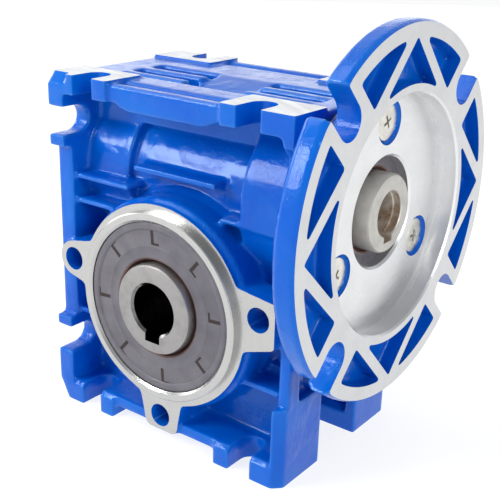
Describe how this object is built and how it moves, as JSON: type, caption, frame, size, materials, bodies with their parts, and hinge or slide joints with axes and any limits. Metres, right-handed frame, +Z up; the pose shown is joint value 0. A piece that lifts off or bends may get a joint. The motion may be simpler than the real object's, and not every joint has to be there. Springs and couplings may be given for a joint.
{
  "type": "right-angle worm gearbox",
  "caption": "Right-angle worm gear reducer with a hollow keyed output shaft, a round motor flange with a keyed hollow input, and slotted mounting feet.",
  "frame": {"origin": "centre of the output bore, on the housing's mid plane", "axes": "+X along the worm towards the motor flange, -Y out of the visible output side, +Z up towards the worm"},
  "size_m": [0.094, 0.094, 0.117],
  "materials": {
    "painted_casting": "glossy blue enamel on cast aluminium, bare on the machined faces",
    "turned_steel": "turned",
    "iron_centre": "turned",
    "bronze": "machined",
    "bearing_steel": "ground",
    "cage_brass": "pressed",
    "zinc_steel": "zinc plated",
    "grey_rubber": "satin",
    "black_rubber": "satin",
    "gasket_fibre": "matt"
  },
  "bodies": {
    "gearcase": {"housing": "painted_casting", "output_cover": "painted_casting", "cover_screws": "zinc_steel", "cover_o_ring": "black_rubber", "input_flange": "painted_casting", "flange_gasket": "gasket_fibre", "flange_screws": "zinc_steel", "near_bearing_outer_race": "bearing_steel", "far_bearing_outer_race": "bearing_steel", "input_bearing_outer_race": "bearing_steel", "rear_bearing_outer_race": "bearing_steel", "near_output_seal": "grey_rubber", "far_output_seal": "grey_rubber", "input_seal": "grey_rubber", "seal_springs": "zinc_steel", "rear_circlip": "zinc_steel", "rear_cap": "black_rubber"},
    "output_shaft": {"output_hub": "iron_centre", "worm_wheel_rim": "bronze", "wheel_shims": "zinc_steel", "near_bearing_inner_race": "bearing_steel", "near_bearing_balls": "bearing_steel", "near_bearing_cage": "cage_brass", "far_bearing_inner_race": "bearing_steel", "far_bearing_balls": "bearing_steel", "far_bearing_cage": "cage_brass"},
    "worm": {"worm_shaft": "turned_steel", "input_bearing_inner_race": "bearing_steel", "input_bearing_balls": "bearing_steel", "input_bearing_cage": "cage_brass", "rear_bearing_inner_race": "bearing_steel", "rear_bearing_balls": "bearing_steel", "rear_bearing_cage": "cage_brass"}
  },
  "joints": [
    {"name": "output_spin", "type": "hinge", "parent": "gearcase", "child": "output_shaft", "pos_m": [0, 0, 0], "axis": [0, 1, 0], "continuous": true},
    {"name": "worm_spin", "type": "hinge", "parent": "gearcase", "child": "worm", "pos_m": [0, 0, 0.03], "axis": [1, 0, 0], "continuous": true}
  ],
  "couplings": [
    {"joint": "worm_spin", "follows": "output_spin", "ratio": -30}
  ]
}
